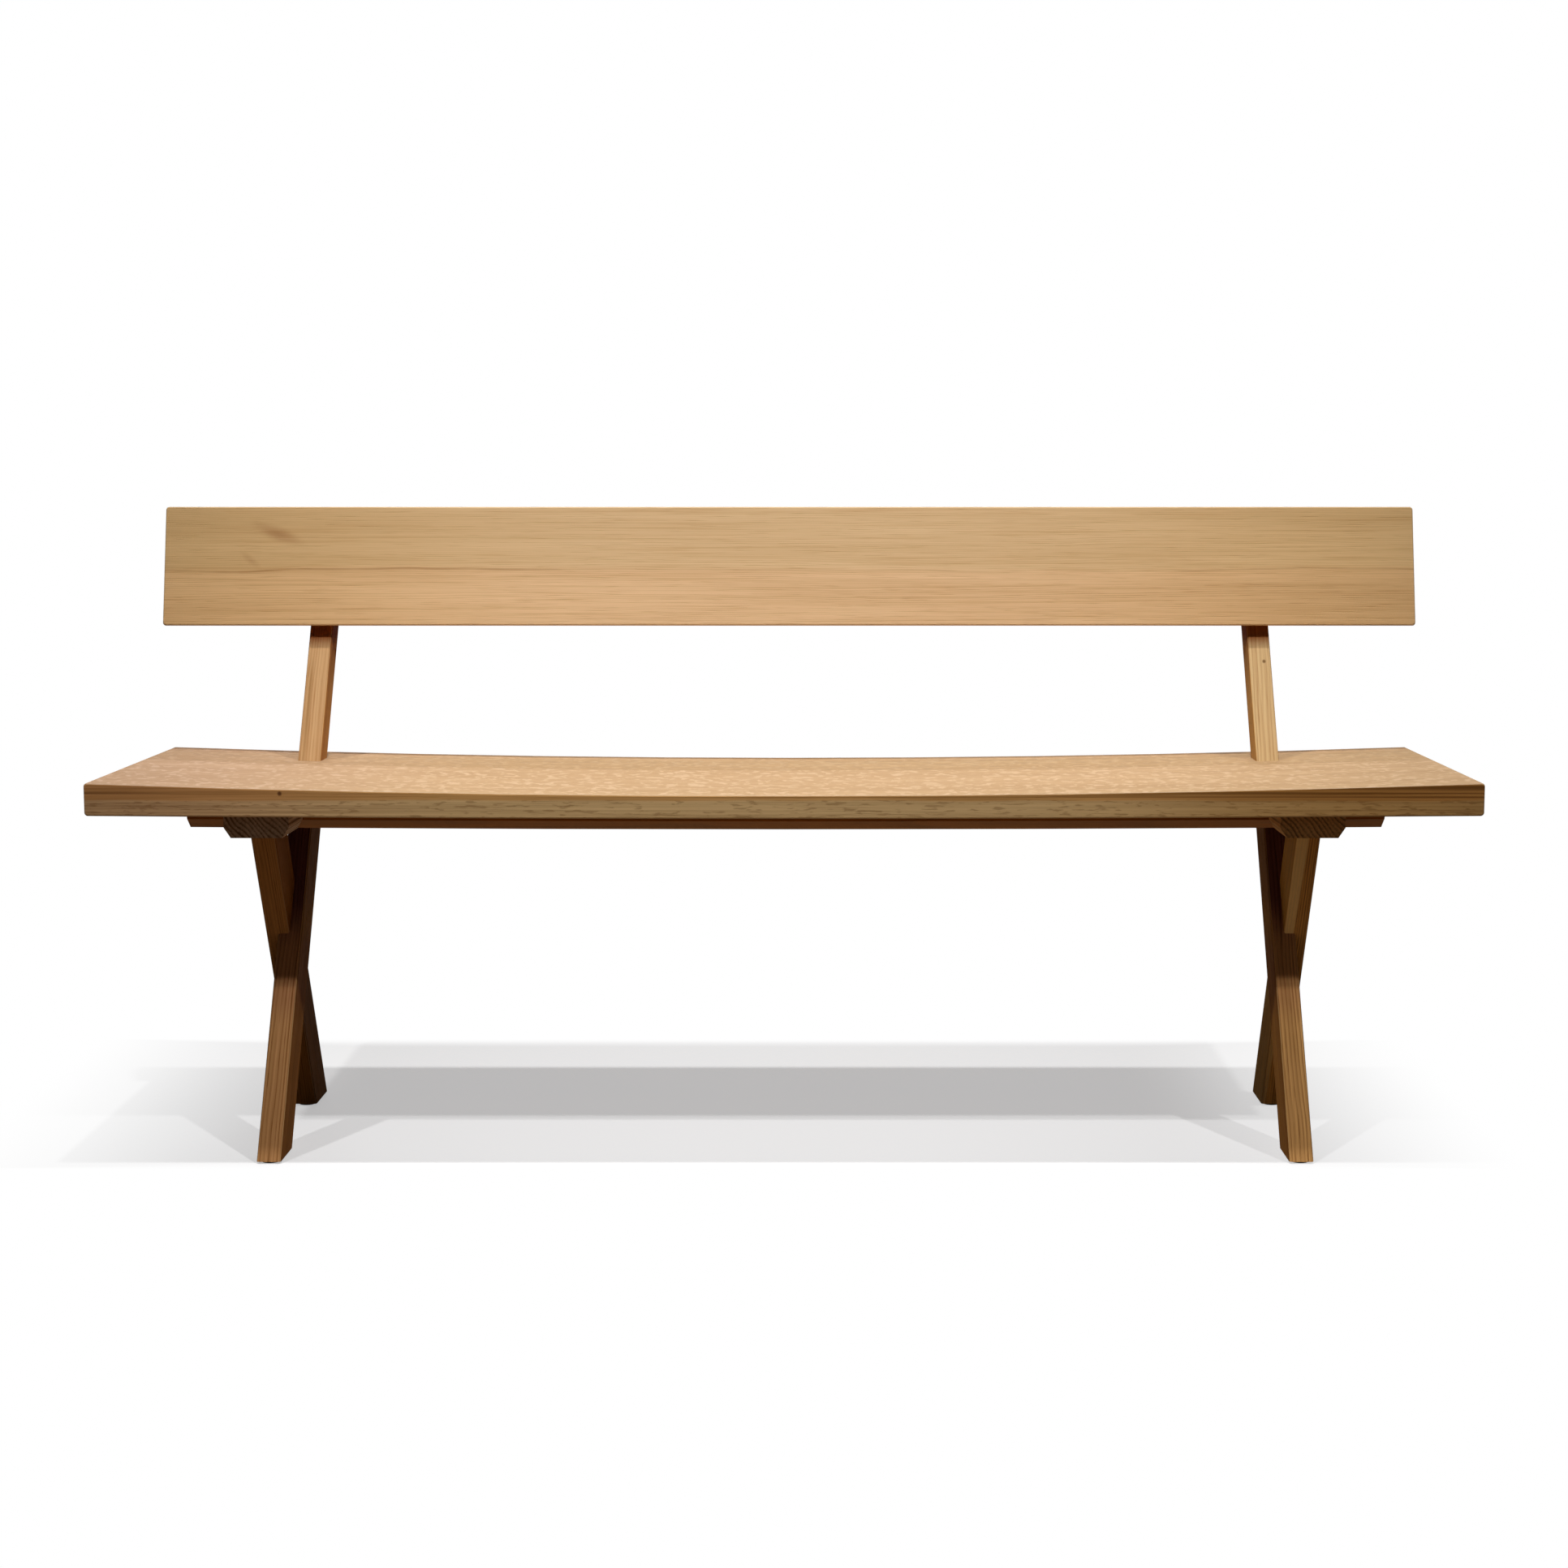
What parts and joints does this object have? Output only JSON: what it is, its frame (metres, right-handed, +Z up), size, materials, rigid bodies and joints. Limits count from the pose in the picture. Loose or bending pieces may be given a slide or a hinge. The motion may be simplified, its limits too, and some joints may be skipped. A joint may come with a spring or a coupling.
{
  "type": "bench with backrest",
  "caption": "Long plank bench with a gently hollowed seat, a low tilted board as backrest and halved X-frame legs whose long members run up through the seat as back posts",
  "frame": {"origin": "on the floor, under the middle of the whole bench's length and depth", "axes": "+X along the seat to the right of someone who looks at the bench's front, +Y from the front edge towards the backrest, +Z up"},
  "size_m": [1.6, 0.4688, 0.7566],
  "materials": {
    "oiled_oak": "oiled, satin",
    "zinc_steel": "zinc plated",
    "grey_felt": "pressed felt"
  },
  "bodies": {
    "root": {"seat_front_stave": "oiled_oak", "seat_middle_stave": "oiled_oak", "seat_rear_stave": "oiled_oak", "seat_rail": "oiled_oak", "left_bearer": "oiled_oak", "right_bearer": "oiled_oak", "left_long_leg": "oiled_oak", "right_long_leg": "oiled_oak", "left_short_leg": "oiled_oak", "right_short_leg": "oiled_oak", "backrest_board": "oiled_oak", "bearer_screws": "zinc_steel", "rail_screws": "zinc_steel", "leg_screws": "zinc_steel", "backrest_screws": "zinc_steel", "post_pegs": "oiled_oak", "backrest_plugs": "oiled_oak", "floor_glides": "grey_felt"}
  },
  "joints": []
}
